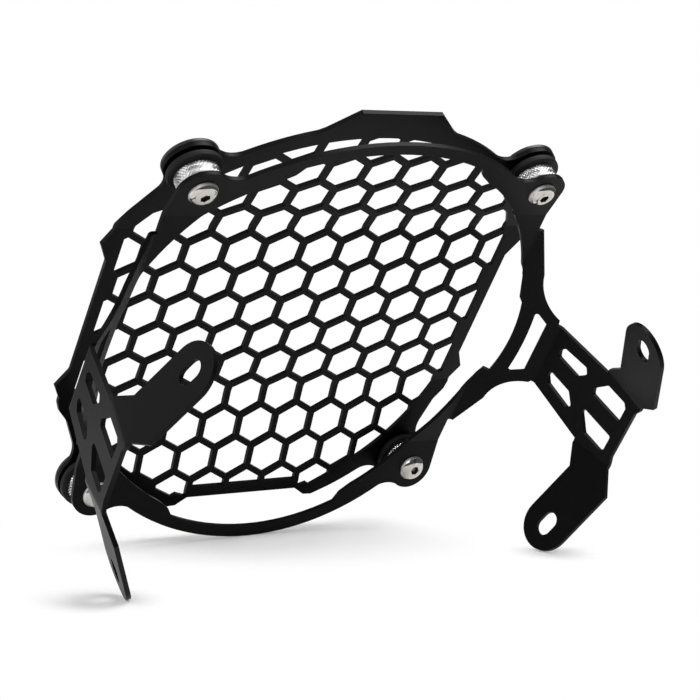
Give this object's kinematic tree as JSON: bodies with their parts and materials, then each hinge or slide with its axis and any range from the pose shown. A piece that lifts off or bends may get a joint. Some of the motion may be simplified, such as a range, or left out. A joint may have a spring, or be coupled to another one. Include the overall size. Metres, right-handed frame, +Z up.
{
  "type": "motorcycle headlight guard",
  "caption": "Hexagon-mesh headlight grille folded from sheet, held off a folded ring bracket by screws and spacers, with two slotted side arms.",
  "frame": {"origin": "centre of the ring, on the rear face of its flat middle part", "axes": "+Y back along the lamp's axis, -Y forward through the grille, +Z up, X across with +X at the rider's left"},
  "size_m": [0.2068, 0.0891, 0.1883],
  "materials": {
    "bracket_coat": "fine-textured black powder coat on folded steel sheet",
    "grille_coat": "fine-textured black powder coat on folded steel sheet",
    "screw_steel": "bright stainless steel",
    "spacer_metal": "bright knurled aluminium",
    "washer_rubber": "matt black rubber",
    "nut_coat": "black-plated steel"
  },
  "bodies": {
    "root": {"mounting_ring": "bracket_coat", "front_grille": "grille_coat", "screw_upper_left": "screw_steel", "spacer_upper_left": "spacer_metal", "rubber_washer_upper_left": "washer_rubber", "flange_nut_upper_left": "nut_coat", "screw_upper_right": "screw_steel", "spacer_upper_right": "spacer_metal", "rubber_washer_upper_right": "washer_rubber", "flange_nut_upper_right": "nut_coat", "screw_lower_left": "screw_steel", "spacer_lower_left": "spacer_metal", "rubber_washer_lower_left": "washer_rubber", "flange_nut_lower_left": "nut_coat", "screw_lower_right": "screw_steel", "spacer_lower_right": "spacer_metal", "rubber_washer_lower_right": "washer_rubber", "flange_nut_lower_right": "nut_coat"}
  },
  "joints": []
}
